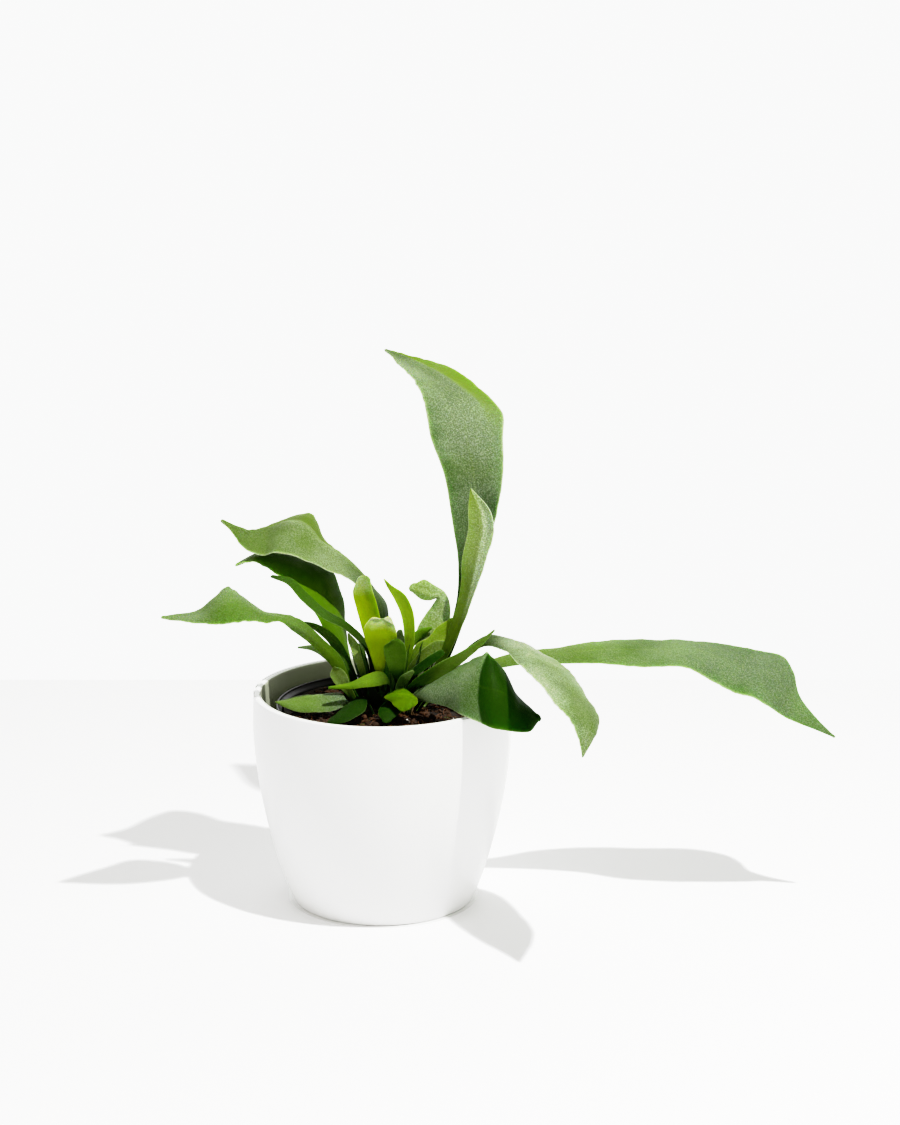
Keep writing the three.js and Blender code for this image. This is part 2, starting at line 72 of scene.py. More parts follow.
def along_curve(points, t):
    """The point at t, counted in points, on a smooth curve through all the points."""
    last = len(points) - 1
    i = min(int(t), last - 1)
    before = points[i - 1] if i > 0 else points[0] * 2 - points[1]
    after = points[i + 2] if i + 2 <= last else points[last] * 2 - points[last - 1]
    return catmull(before, points[i], points[i + 1], after, t - i)


def on_ball(tilt, angle):
    """The way out from a ball's centre, at this tilt from straight up and this angle around."""
    return Vector((math.sin(tilt) * math.cos(angle), math.sin(tilt) * math.sin(angle), math.cos(tilt)))


def scaled(way, amounts):
    return Vector((way.x * amounts.x, way.y * amounts.y, way.z * amounts.z))


def new_object(name, vertices, faces, material, smooth=True):
    mesh = bpy.data.meshes.new(name)
    mesh.from_pydata([tuple(v) for v in vertices], [], faces)
    mesh.validate()
    if smooth:
        mesh.shade_smooth()
    mesh.materials.append(material)
    piece = bpy.data.objects.new(name, mesh)
    bpy.context.scene.collection.objects.link(piece)
    return piece


def store(piece, name, values):
    """Keeps one number per vertex on the mesh, for its material to read."""
    layer = piece.data.attributes.new(name, "FLOAT", "POINT")
    layer.data.foreach_set("value", values)


def slot_of(node):
    for subpart in frame["record"]["subparts"]:
        if subpart["node"] == node:
            return subpart["material_slot"]
    return node


def stand_for(piece, node):
    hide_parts(node)
    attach(piece, "root")


def add_detail(piece):
    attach(piece, "root")


# ---------------------------------------------------------------- shader maths
class Shade:
    """A socket in a material. Sums and products of shades add the Math nodes that they need."""

    def __init__(self, recipe, socket):
        self.recipe = recipe
        self.socket = socket

    def maths(self, operation, *inputs):
        return self.recipe.node("ShaderNodeMath", {"operation": operation}, dict(enumerate(inputs)))

    def __add__(self, other):
        return self.maths("ADD", self, other)

    def __radd__(self, other):
        return self.maths("ADD", other, self)

    def __sub__(self, other):
        return self.maths("SUBTRACT", self, other)

    def __rsub__(self, other):
        return self.maths("SUBTRACT", other, self)

    def __mul__(self, other):
        return self.maths("MULTIPLY", self, other)

    def __rmul__(self, other):
        return self.maths("MULTIPLY", other, self)

    def __abs__(self):
        return self.maths("ABSOLUTE", self)

    def over(self, low, high):
        """0 below low, 1 above high, smooth between; low may be the larger."""
        settings = {"interpolation_type": "SMOOTHSTEP"}
        inputs = {"Value": self, "From Min": low, "From Max": high}
        return self.recipe.node("ShaderNodeMapRange", settings, inputs)


class Recipe:
    """A material while it is being mixed."""

    def __init__(self, name):
        self.material = bpy.data.materials.new(name)
        self.material.use_nodes = True
        self.tree = self.material.node_tree
        self.tree.nodes.clear()
        self.output = self.tree.nodes.new("ShaderNodeOutputMaterial")
        self.place = self.node("ShaderNodeTexCoord", output="Object")

    def node(self, kind, settings=None, inputs=None, output=0):
        node = self.tree.nodes.new(kind)
        for name, value in (settings or {}).items():
            setattr(node, name, value)
        for name, value in (inputs or {}).items():
            if isinstance(value, Shade):
                self.tree.links.new(value.socket, node.inputs[name])
            else:
                node.inputs[name].default_value = value
        return Shade(self, node.outputs[output])

    def noise(self, per_metre, detail=2, roughness=0.5, stretch=None):
        place = self.stretched(stretch) if stretch else self.place
        inputs = {"Vector": place, "Scale": per_metre, "Detail": detail, "Roughness": roughness}
        return self.node("ShaderNodeTexNoise", None, inputs)

    def cells(self, per_metre):
        inputs = {"Vector": self.place, "Scale": per_metre, "Randomness": 1.0}
        return self.node("ShaderNodeTexVoronoi", {"feature": "F1"}, inputs, "Distance")

    def stretched(self, amounts):
        inputs = {0: self.place, 1: amounts}
        return self.node("ShaderNodeVectorMath", {"operation": "MULTIPLY"}, inputs)

    def stored(self, name):
        return self.node("ShaderNodeAttribute", {"attribute_name": name}, None, "Fac")

    def mix(self, share, first, second):
        inputs = {0: share, 6: first, 7: second}
        return self.node("ShaderNodeMix", {"data_type": "RGBA"}, inputs, 2)

    def bump(self, height, depth):
        inputs = {"Height": height, "Distance": depth, "Strength": 1.0}
        return self.node("ShaderNodeBump", None, inputs)

    def finish(self, **sockets):
        named = {name.replace("_", " "): value for name, value in sockets.items()}
        shader = self.node("ShaderNodeBsdfPrincipled", None, named)
        self.tree.links.new(shader.socket, self.output.inputs["Surface"])
        return self.material


def rgb(red, green, blue):
    """A colour given as it looks, 0 to 255, turned into the linear values that shaders use."""
    def linear(value):
        value = value / 255
        return value / 12.92 if value <= 0.04045 else ((value + 0.055) / 1.055) ** 2.4
    return (linear(red), linear(green), linear(blue), 1.0)


# ---------------------------------------------------------------- materials
def white_glaze():
    recipe = Recipe("white_glaze")
    pooling = recipe.noise(14, 3, 0.5)
    specks = recipe.cells(95)
    speck = specks.over(0.075, 0.03) * recipe.noise(31, 1).over(0.56, 0.6)
    clean = recipe.mix(pooling, rgb(238, 238, 236), rgb(243, 243, 242))
    # Painted shade and painted green reflection: the inside wall is tinted a darker olive grey for the
    # shade and the green light off the leaves there.
    clean = recipe.mix(recipe.stored("inside"), clean, rgb(198, 202, 180))
    colour = recipe.mix(speck, clean, rgb(176, 170, 160))
    ripple = recipe.noise(55, 2, 0.5) * 0.7 + recipe.noise(420, 2, 0.6) * 0.12
    return recipe.finish(
        Base_Color=colour,
        Roughness=pooling * 0.1 + 0.2,
        Normal=recipe.bump(ripple, 0.0006),
        IOR=1.5,
    )


def black_plastic():
    recipe = Recipe("black_plastic")
    dust = recipe.noise(160, 5, 0.6).over(0.5, 0.78)
    scuffs = recipe.noise(90, 3, 0.6, stretch=(1, 1, 9)).over(0.62, 0.75)
    colour = recipe.mix(dust * 0.3, rgb(17, 17, 18), rgb(70, 60, 48))
    grain = recipe.noise(2600, 2, 0.6) * 0.3 + recipe.noise(300, 2) * 0.5
    return recipe.finish(
        Base_Color=colour,
        Roughness=dust * 0.25 + scuffs * 0.12 + 0.3,
        Normal=recipe.bump(grain, 0.00012),
        Specular_IOR_Level=0.45,
    )


def peat(name, dark, light, rusty):
    recipe = Recipe(name)
    tone = recipe.stored("tone")
    blotch = recipe.noise(260, 5, 0.65)
    fleck = recipe.noise(1500, 3, 0.7)
    earth = recipe.mix(blotch.over(0.35, 0.7), dark, light)
    earth = recipe.mix(tone, earth, rusty)
    earth = recipe.mix(fleck.over(0.66, 0.76) * 0.5, earth, rgb(120, 88, 58))
    crumb = recipe.noise(700, 6, 0.75) * 0.8 + recipe.noise(2600, 3, 0.7) * 0.3
    return recipe.finish(
        Base_Color=earth,
        Roughness=blotch * 0.25 + 0.7,
        Normal=recipe.bump(crumb, 0.0009),
    )


def plain_bits(name, colour_a, colour_b, roughness):
    recipe = Recipe(name)
    patches = recipe.noise(900, 4, 0.6)
    return recipe.finish(
        Base_Color=recipe.mix(patches.over(0.35, 0.65), colour_a, colour_b),
        Roughness=patches * 0.2 + roughness,
        Normal=recipe.bump(recipe.noise(2400, 4, 0.7), 0.0003),
    )


def frond_skin(name, darkest_green, deep, lit, young, fuzz_and_sheen, glow):
    """Living blade: green under a bloom of pale star-shaped hairs, thickest along the margins, with a
    painted sheen in broad pale patches.

    deep and lit are the blade's own greens, young the yellower green of new growth and darkest_green
    the darkest one. The blades store how young (fresh_and_painted_light) and how hairy
    (downy_and_sheen) they are at each place. On some blades fresh_and_painted_light is also painted
    light above 0, and below 0 it is painted shade that darkens towards darkest_green. downy_and_sheen
    also spreads the painted sheen.
    """
    recipe = Recipe(name)
    across = abs(recipe.stored("across"))
    length = recipe.stored("along")
    under = recipe.stored("under")
    fresh_and_painted_light = recipe.stored("fresh_and_painted_light")
    downy_and_sheen = recipe.stored("downy_and_sheen")
    patches = recipe.noise(38, 3, 0.55)
    fibre = recipe.noise(420, 3, 0.65)
    grain = recipe.noise(2300, 2, 0.7)
    body = recipe.mix(patches.over(0.32, 0.68), deep, lit)
    body = recipe.mix(fibre.over(0.4, 0.7) * 0.4, body, lit)
    # Yellower young green. Where fresh_and_painted_light is raised to stand in for light, this is
    # painted light, as on the shaded under frond and the tall frond's band past its fold.
    body = recipe.mix(fresh_and_painted_light, body, young)
    edge = across.over(0.85, 1.0) * 0.3 + across.over(0.06, 0.0) * length.over(1.0, 0.3) * 0.3
    body = recipe.mix(edge, body, young)
    # Painted shade: below 0 the blade darkens towards the darkest green, on the over-rim frond's far
    # facet, the dark front leaves and the crown leaflets.
    body = recipe.mix(fresh_and_painted_light.over(0, -1), body, darkest_green)
    mottle = recipe.noise(1350, 3, 0.8).over(0.43, 0.63)
    stars = recipe.cells(2300).over(0.5, 0.1) * grain.over(0.35, 0.6)
    # Painted sheen: broad pale patches, partly the real uneven bloom of hairs and partly a painted
    # sheen, like the pale patch in the middle of the tall frond.
    bloom_and_sheen = recipe.noise(30, 2, 0.5).over(0.3, 0.68)
    cover = (mottle * 0.36 + stars * 0.2) * (bloom_and_sheen * 0.7 + 0.35)
    body = recipe.mix(cover * downy_and_sheen, body, fuzz_and_sheen)
    # Painted sheen laid evenly over the hairy places, with more real hair on the undersides.
    body = recipe.mix((bloom_and_sheen * 0.16 + under * 0.1 + 0.02) * downy_and_sheen, body, fuzz_and_sheen)
    margin = across.over(0.93, 1.0) * recipe.noise(900, 2).over(0.2, 0.55)
    body = recipe.mix(margin * (downy_and_sheen * 0.5 + 0.08), body, fuzz_and_sheen)
    relief = cover * 0.7 + fibre * 0.4 + recipe.noise(170, 3, 0.5) * 0.8 + grain * 0.12
    return recipe.finish(
        Base_Color=body,
        Roughness=cover * 0.25 + patches * 0.1 + 0.42,
        Normal=recipe.bump(relief, 0.00045),
        Specular_IOR_Level=0.07,
        Subsurface_Weight=glow,
        Subsurface_Radius=(0.45, 1.0, 0.05),
        Subsurface_Scale=0.004,
    )


WHITE_GLAZE = white_glaze()
BLACK_PLASTIC = black_plastic()
PEAT = peat("damp_peat", rgb(28, 20, 13), rgb(52, 38, 25), rgb(58, 38, 25))
CRUMBS = peat("peat_crumbs", rgb(30, 20, 13), rgb(58, 41, 27), rgb(86, 58, 36))
ROOT_FIBRE = plain_bits("root_fibre", rgb(74, 44, 26), rgb(122, 84, 52), 0.7)
PERLITE = plain_bits("perlite", rgb(206, 200, 186), rgb(232, 228, 218), 0.8)
MOSS = plain_bits("moss", rgb(62, 84, 26), rgb(104, 130, 48), 0.8)
RHIZOME_SCALE = plain_bits("rhizome_scale", rgb(70, 52, 32), rgb(112, 92, 62), 0.75)

FUZZ_AND_SHEEN = rgb(184, 194, 172)
DARKEST_GREEN = rgb(18, 36, 2)
FROND_SKINS = {
    name: frond_skin(name, DARKEST_GREEN, rgb(*deep), rgb(*lit), rgb(*young), FUZZ_AND_SHEEN, glow)
    for name, deep, lit, young, glow in (
        ("grey_green_frond", (30, 52, 4), (50, 72, 8), (98, 120, 16), 0.12),
        ("mid_green_frond", (34, 60, 3), (54, 84, 6), (98, 124, 13), 0.15),
        ("deep_green_frond", (28, 58, 2), (42, 76, 3), (88, 120, 8), 0.15),
        ("lime_frond", (66, 96, 2), (98, 126, 3), (138, 154, 10), 0.3),
        ("pale_frond", (52, 74, 6), (76, 98, 14), (112, 130, 28), 0.15),
    )
}


# ---------------------------------------------------------------- fronds
def corner_key(point):
    return tuple(round(c / MM * 1000) for c in point)


def cad_rows(node):
    """The rows of eight points that a frond's solid was lofted through, base first.

    The base closes on one middle point that eight faces meet at; nothing else on a frond has
    eight neighbours. From there each row is found as the next ring of neighbours.
    """
    mesh = frame["nodes"][node].data
    places, neighbours, faces = {}, {}, []
    for polygon in mesh.polygons:
        corners = [corner_key(mesh.vertices[i].co) for i in polygon.vertices]
        for i, index in enumerate(polygon.vertices):
            places[corners[i]] = mesh.vertices[index].co.copy()
            around = neighbours.setdefault(corners[i], set())
            around.update((corners[i - 1], corners[(i + 1) % len(corners)]))
        faces.append(corners)
    base = next(key for key in sorted(places) if len(neighbours[key]) == 8)
    follow = {}
    for corners in faces:
        if base in corners:
            i = corners.index(base)
            follow[corners[(i + 2) % 3]] = corners[(i + 1) % 3]
    ring = [min(follow)]
    while len(ring) < 8:
        ring.append(follow[ring[-1]])
    rows, seen = [ring], {base, *ring}
    while True:
        ahead = [neighbours[key] - seen for key in rows[-1]]
        shared = [ahead[i - 1] & ahead[i] for i in range(8)]
        if any(len(common) != 1 for common in shared):
            break
        ring = [next(iter(common)) for common in shared]
        seen.update(ring)
        rows.append(ring)
    rows = [[places[key] for key in row] for row in rows]
    widths = [(row[i] - row[(i + 4) % 8]).length for row in rows for i in range(4)]
    turn = widths.index(max(widths)) % 4
    return [row[turn:] + row[:turn] for row in rows]


def upper_side_first(rows):
    """Turns the rows so that their second to fourth points lie on the side facing up and inward."""
    plant_axis = Vector((5 * MM, 4 * MM, 0))
    facing = 0.0
    for row, after in zip(rows, rows[1:]):
        middle = (row[0] + row[4]) / 2
        along = (after[0] + after[4]) / 2 - middle
        up = (row[4] - row[0]).cross(along)
        inward = Vector((plant_axis.x - middle.x, plant_axis.y - middle.y, 0))
        facing += up.dot(UP + inward.normalized() * 0.5)
    if facing >= 0:
        return rows
    return [row[4:] + row[:4] for row in rows]


def crest_place(crest, part):
    """How far across the fold lies at this part of the blade, and how much of it has risen."""
    return crest[0] + (crest[1] - crest[0]) * part, smoothstep(crest[3], crest[3] + 0.2, part)


def blade(
    name, rows, material, wave=0.5, rib=0.35, fresh_and_painted_light=(0, 0.3), downy_and_sheen=(0.2, 0.6), turn=(0.15, 0.7),
    crest=None, beyond=None, tip_round=0.5, tip_bumps=(), columns=20,
):
    """A frond or leaf: a fine skin over its rows of eight, with a midrib, thin margins and waves.

    wave is how far the margins ripple and rib how far the midrib stands out, in mm.
    fresh_and_painted_light and downy_and_sheen are how young and how hairy the blade is, at its base
    and at its tip, and turn where it goes from one to the other; on some blades they also carry painted
    light, painted shade and painted sheen. crest is a soft fold up the blade: how far across it lies at
    the base and at the tip, its height in mm and where it starts. beyond is fresh_and_painted_light and
    downy_and_sheen past the fold, and a painted highlight runs along the fold itself. tip_bumps are
    (across, height in mm, width) of the lobes and notches of a blunt tip.
    """
    fine = 4
    seed = sum(ord(letter) for letter in name)
    steps = (len(rows) - 1) * fine
    shares = [math.sin(math.pi / 2 * (2 * j / columns - 1)) for j in range(columns + 1)]
    upper_tracks = [[row[i] for row in rows] for i in (0, 1, 2, 3, 4)]
    lower_tracks = [[row[i] for row in rows] for i in (0, 7, 6, 5, 4)]
    middle_grid, thick_row, width_row, travel = [], [], [], [0.0]
    for i in range(steps + 1):
        t = i / fine
        upper = [along_curve(track, t) for track in upper_tracks]
        lower = [along_curve(track, t) for track in lower_tracks]
        middle = [(a + b) / 2 for a, b in zip(upper, lower)]
        thick_row.append((upper[2] - lower[2]).length / 2)
        width_row.append((upper[4] - upper[0]).length)
        middle_grid.append([along_curve(middle, (share + 1) * 2) for share in shares])
        if i:
            step = middle_grid[-1][columns // 2] - middle_grid[-2][columns // 2]
            travel.append(travel[-1] + step.length)
    normals = []
    for i in range(steps + 1):
        ahead, back = middle_grid[min(i + 1, steps)], middle_grid[max(i - 1, 0)]
        line = middle_grid[i]
        row_normals = []
        for j in range(columns + 1):
            right, left = line[min(j + 1, columns)], line[max(j - 1, 0)]
            row_normals.append((right - left).cross(ahead[j] - back[j]).normalized())
        normals.append(row_normals)
    end_middle = middle_grid[-1][columns // 2]
    heading = (end_middle - middle_grid[-3][columns // 2]).normalized()
    vertices, looks = [], []
    for i in range(steps + 1):
        part = travel[i] / travel[-1]
        half_width = width_row[i] / 2
        grown = smoothstep(0.12, 0.5, part) * min(1.0, half_width / (4 * MM))
        for side in (1, -1):
            order = range(columns + 1) if side > 0 else range(columns - 1, 0, -1)
            for j in order:
                share = shares[j]
                sheet = 0.42 + 0.58 * (1 - share * share) ** 1.5
                rounding = math.sqrt(max(0.0, 1 - abs(share) ** 9))
                thick = thick_row[i] * sheet * rounding
                ridge = rib * MM * math.exp(-((share * half_width / (1.3 * MM)) ** 2)) * grown
                travel_mm = travel[i] / MM
                margin = math.copysign(1, share)
                ripple = noise.noise(Vector((travel_mm * 0.11, 1.7 * margin, seed)))
                ripple += 0.5 * noise.noise(Vector((travel_mm * 0.31, 3.1 * margin, seed)))
                swell = noise.noise(Vector((travel_mm * 0.05, share * 1.3, seed + 9)))
                shift = (ripple * share ** 2 * 1.6 + swell * 0.8) * wave * MM * grown
                past = 0.0
                if crest:
                    place, started = crest_place(crest, part)
                    beside = (share - place) / 0.2
                    fold = math.exp(-beside * beside) - 0.8 * math.exp(-((beside - 1.7) ** 2))
                    shift += crest[2] * MM * fold * started * min(1.0, half_width / (8 * MM))
                    past = smoothstep(0.0, 0.5, beside) * started
                if side > 0:
                    lift = thick - ridge * 0.6
                else:
                    lift = -thick - ridge
                reach = sum(h * math.exp(-(((share - at) / w) ** 2)) for at, h, w in tip_bumps)
                reach *= smoothstep(0.8, 1.0, part) * MM
                vertices.append(middle_grid[i][j] + normals[i][j] * (lift + shift) + heading * reach)
                grown_up = smoothstep(*turn, part)
                own_fresh_and_painted_light = fresh_and_painted_light[0] + (fresh_and_painted_light[1] - fresh_and_painted_light[0]) * grown_up
                own_downy_and_sheen = downy_and_sheen[0] + (downy_and_sheen[1] - downy_and_sheen[0]) * grown_up
                if beyond:
                    own_fresh_and_painted_light += (beyond[0] - own_fresh_and_painted_light) * past
                    own_downy_and_sheen += (beyond[1] - own_downy_and_sheen) * past
                    # Painted highlight: a pale line along the fold, where the blade bends over.
                    own_downy_and_sheen += (1 - own_downy_and_sheen) * math.exp(-((beside * 2.5) ** 2)) * started * 0.7
                looks.append((share, part, 0.0 if side > 0 else 1.0, own_fresh_and_painted_light, own_downy_and_sheen))
    around = 2 * columns
    faces = []
    for i in range(steps):
        for j in range(around):
            a, b = i * around + j, i * around + (j + 1) % around
            faces.append((a, a + around, b + around, b))
    # The tip: a few more rows that draw in to a rounded end.
    last = steps * around
    tip_rows = 4
    tip_reach = max(width_row[-1] * tip_round, 0.3 * MM)
    ring = vertices[last : last + around]
    spine = sum(ring, Vector()) / around
    for k in range(1, tip_rows + 1):
        tilt = k / (tip_rows + 0.35) * math.pi / 2
        for j in range(around):
            drawn_in = (ring[j] - spine) * math.cos(tilt)
            vertices.append(spine + drawn_in + heading * tip_reach * math.sin(tilt))
            looks.append(looks[last + j])
    for k in range(tip_rows):
        for j in range(around):
            a, b = last + k * around + j, last + k * around + (j + 1) % around
            faces.append((a, a + around, b + around, b))
    faces.append(tuple(last + tip_rows * around + j for j in range(around)))
    faces.append(tuple(reversed(range(around))))
    faces = [tuple(reversed(face)) for face in faces]
    piece = new_object(name, vertices, faces, material)
    for look, values in zip(("across", "along", "under", "fresh_and_painted_light", "downy_and_sheen"), zip(*looks)):
        store(piece, look, values)
    return piece


def own_blade(node, **shape):
    """The blade that stands for a CAD frond or leaf."""
    rows = upper_side_first(cad_rows(node))
    stand_for(blade(node + "_blade", rows, FROND_SKINS[slot_of(node)], **shape), node)


BLADES = {
    # Painted light: past its fold the top band is lighter yellow-green, for the light from above
    # falling on it.
    "frond_tall": dict(
        wave=0.7, rib=0.2, fresh_and_painted_light=(-0.4, 0.15), downy_and_sheen=(0.2, 0.85), turn=(0.3, 0.6),
        crest=(1.5, 0.1, 1.2, 0.62), beyond=(0.7, 0.25),
    ),
    "frond_second": dict(
        wave=0.4, rib=0.1, fresh_and_painted_light=(0, 0.6), downy_and_sheen=(0.05, 0.6), turn=(0.3, 0.8),
        crest=(0.6, -0.1, 0.3, 0.4), beyond=(0.4, 2.0),
    ),
    "frond_long": dict(wave=0.4, rib=0.3, fresh_and_painted_light=(0.6, 0.1), downy_and_sheen=(0.4, 0.6)),
    "frond_arching": dict(
        wave=0.6, rib=0.6, fresh_and_painted_light=(0, 0.3), downy_and_sheen=(0, 1.25), turn=(0.28, 0.42), tip_round=0.8
    ),
    # Painted shadow: past the crease the far facet turns dark green, for the arching frond's shadow
    # falling on it.
    "frond_over_rim": dict(
        wave=0.4, rib=0.3, fresh_and_painted_light=(0.35, -0.45), downy_and_sheen=(1.0, 0), turn=(0.65, 0.665)
    ),
    "frond_left_broad": dict(
        wave=0.6, rib=0.1, fresh_and_painted_light=(-0.8, 0.35), downy_and_sheen=(0, 0.8), turn=(0.2, 0.5),
        crest=(0.2, 0.0, 2.4, 0.3), beyond=(0.6, 0.1),
    ),
    # Painted light and painted sheen: the shaded blade is lightened and paled towards its tip, for
    # light coming through the fronds above it.
    "frond_left_under": dict(
        wave=0.5, rib=0.4, fresh_and_painted_light=(0.8, 2.0), downy_and_sheen=(0, 1.3), turn=(0.6, 1), tip_round=1.0
    ),
    "frond_left_strap": dict(wave=0.3, rib=0.2, fresh_and_painted_light=(-0.8, -0.1), downy_and_sheen=(0.1, 0.1)),
    "frond_left_low": dict(wave=0.9, rib=0.3, fresh_and_painted_light=(0.4, 0.3), downy_and_sheen=(0.1, 0.6), turn=(0.3, 0.6)),
    "frond_young_left": dict(wave=0.3, rib=0.2, fresh_and_painted_light=(-0.3, 0.3), downy_and_sheen=(0.1, 0.3), columns=16),
    "leaf_left_small": dict(wave=0.3, rib=0.2, fresh_and_painted_light=(-0.5, 0.2), downy_and_sheen=(0, 0.4), columns=16),
    "leaf_lime_blunt": dict(
        wave=0.2, rib=0.15, fresh_and_painted_light=(0.9, 1), downy_and_sheen=(0, 2.4), turn=(0.84, 1), columns=16, tip_round=0.45
    ),
    "leaf_lime_notched": dict(
        wave=0.2, rib=0.1, fresh_and_painted_light=(0.7, 0.9), downy_and_sheen=(0, 1.8), turn=(0.88, 1), columns=16, tip_round=0.05,
        tip_bumps=((-1.0, -2.6, 0.4), (-0.2, 1.5, 0.4), (0.5, -1.8, 0.18), (0.86, 1.9, 0.16)),
    ),
    "leaf_lime_spear": dict(wave=0.2, rib=0.15, fresh_and_painted_light=(0, 0.5), downy_and_sheen=(0, 0.1), columns=16),
    "leaf_centre_round": dict(
        wave=0.4, rib=0.15, fresh_and_painted_light=(-0.2, 0.5), downy_and_sheen=(0, 0.1), columns=16, tip_round=0.2
    ),
    "leaf_inner_grey": dict(wave=0.4, rib=0.15, fresh_and_painted_light=(-0.5, 0.2), downy_and_sheen=(0, 0.4), columns=16),
    "leaf_inner_pale": dict(wave=0.4, rib=0.15, fresh_and_painted_light=(-0.5, 0.2), downy_and_sheen=(0, 0.6), columns=16),
    "leaf_back_curled": dict(
        wave=0.4, rib=0.9, fresh_and_painted_light=(0.6, 0.8), downy_and_sheen=(0.9, 2.0), turn=(0.3, 0.6), columns=16
    ),
    "leaf_back_small": dict(wave=0.4, rib=0.15, fresh_and_painted_light=(-0.3, 0.8), downy_and_sheen=(0, 0.2), columns=16),
    "leaf_right_spear": dict(wave=0.3, rib=0.15, fresh_and_painted_light=(0, 0.7), downy_and_sheen=(0, 0.3), columns=16),
    "leaf_right_dark": dict(wave=0.3, rib=0.15, fresh_and_painted_light=(-0.8, 0), downy_and_sheen=(0, 0.1), columns=16),
    "leaf_front_pad": dict(wave=0.7, rib=0.15, fresh_and_painted_light=(-0.2, 0.6), downy_and_sheen=(0.9, 0.3), columns=16),
    "leaf_front_lobed": dict(
        wave=0.5, rib=0.15, fresh_and_painted_light=(-0.6, -0.1), downy_and_sheen=(0, 0), columns=16, tip_round=0.2,
        tip_bumps=((-0.6, 0.8, 0.3), (0.1, -0.9, 0.2), (0.65, 0.9, 0.25)),
    ),
    # Painted shade: the front strip, dark and tip leaves are darkened for the shade under the leaves
    # above them.
    "leaf_front_strip": dict(wave=0.4, rib=0.15, fresh_and_painted_light=(-1.2, 0), downy_and_sheen=(0, 0.1), columns=16),
    "leaf_front_dark": dict(wave=0.4, rib=0.15, fresh_and_painted_light=(-1, -0.5), downy_and_sheen=(0, 0.05), columns=16),
    "leaf_front_tip": dict(wave=0.4, rib=0.15, fresh_and_painted_light=(-1, -0.4), downy_and_sheen=(0, 0.05), columns=16),
}
SMALL_LEAF = dict(wave=0.35, rib=0.2, fresh_and_painted_light=(-0.3, 0.3), downy_and_sheen=(0, 0.3), columns=16)
for blade_node in sorted(frame["nodes"]):
    if blade_node.startswith(("frond_", "leaf_")):
        own_blade(blade_node, **BLADES.get(blade_node, SMALL_LEAF))


def leaflet_rows(root, heading, face, length, width, droop):
    """Rows of eight for a small leaf that leaves root along heading, its upper side towards face."""
    rows = []
    count = 9
    place = root.copy()
    for i in range(count + 1):
        part = i / count
        side = heading.cross(face).normalized()
        top = side.cross(heading).normalized()
        half = width / 2 * (0.25 + 0.75 * math.sin(math.pi * min(1.0, 0.15 + part * 0.85)) ** 0.8)
        half *= 1 - 0.75 * smoothstep(0.75, 1.0, part)
        thick = 0.4 * MM * (1 - 0.5 * part)
        upper = [
            place
            + side * half * share
            - top * (0.2 * half * (1 - share * share) - thick * (1 - share * share))
            for share in (-1, -0.5, 0, 0.5, 1)
        ]
        lower = [
            place + side * half * share - top * (0.2 * half + thick) * (1 - share * share)
            for share in (0.5, 0, -0.5)
        ]
        rows.append(upper + lower)
        heading = (heading - UP * droop / count).normalized()
        place = place + heading * length / count
    return rows


GOLDEN_ANGLE = 137.5  # degrees from each new leaf to the next around a crown


def crown_leaflets(count):
    """The new leaves that crowd the crown between the stalks, darkened towards their bases as painted
    shade.
    """
    low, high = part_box("rhizome")
    middle, half = (low + high) / 2, (high - low) / 2
    rng = random.Random(51)
    for i in range(count):
        angle = math.radians(GOLDEN_ANGLE * i + rng.uniform(-20, 20))
        reach = 0.12 + 0.68 * (i + 0.5) / count
        way = Vector((math.cos(angle) * half.x, math.sin(angle) * half.y, 0)) * reach
        root = middle + way + UP * half.z * 0.35
        heading = (UP + way.normalized() * (reach * 0.55 + rng.uniform(-0.1, 0.1))).normalized()
        face = UP - way.normalized() * 0.8
        length = (rng.uniform(34, 41) - 12 * reach) * MM * (1.0 if way.y > -3 * MM else 0.5)
        rows = leaflet_rows(root, heading, face, length, rng.uniform(5, 8) * MM, rng.uniform(0.1, 0.5))
        skin = FROND_SKINS["deep_green_frond"]
        # Painted shade: each leaflet's base is darkened for the shade between the stalks.
        leaflet = blade(
            f"crown_leaflet_{i:02d}", rows, skin, wave=0.5, rib=0.15,
            fresh_and_painted_light=(-0.8, rng.uniform(-0.5, 0.4)), downy_and_sheen=(0, 0.15), columns=10,
        )
        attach(leaflet, "root")


crown_leaflets(40)


# ---------------------------------------------------------------- pots
def turned(name, outline, material, around):
    """A round piece from an outline of (radius, height) points that runs from axis to axis."""
    vertices, faces = [], []
    inner = outline[1:-1]
    for i in range(around):
        angle = 2 * math.pi * i / around
        for radius, height in inner:
            vertices.append((radius * math.cos(angle), radius * math.sin(angle), height))
    vertices.append((0, 0, outline[0][1]))
    vertices.append((0, 0, outline[-1][1]))
    count = len(inner)
    for i in range(around):
        a, b = i * count, (i + 1) % around * count
        for j in range(count - 1):
            faces.append((a + j, b + j, b + j + 1, a + j + 1))
        faces.append((len(vertices) - 2, b, a))
        faces.append((len(vertices) - 1, a + count - 1, b + count - 1))
    return new_object(name, vertices, faces, material)


def cad_outline(node):
    """The (radius, height) points of a turned CAD node, from the axis below to the axis above."""
    mesh = frame["nodes"][node].data
    places, neighbours = {}, {}
    for polygon in mesh.polygons:
        corners = [mesh.vertices[i].co for i in polygon.vertices]
        for i, corner in enumerate(corners):
            for other in (corners[i - 1], corners[(i + 1) % len(corners)]):
                if max(abs(corner.y), abs(other.y)) < 1e-6 and min(corner.x, other.x) > -1e-6:
                    neighbours.setdefault(corner_key(corner), set()).add(corner_key(other))
                    places[corner_key(corner)] = corner.copy()
    on_axis = [key for key in places if key[0] == 0]
    walk = [min(on_axis, key=lambda key: key[2])]
    while True:
        ahead = [key for key in neighbours[walk[-1]] if key not in walk]
        if not ahead:
            break
        walk.append(max(ahead) if len(walk) == 1 else ahead[0])
    return [Vector((places[key].x, places[key].z)) for key in walk]


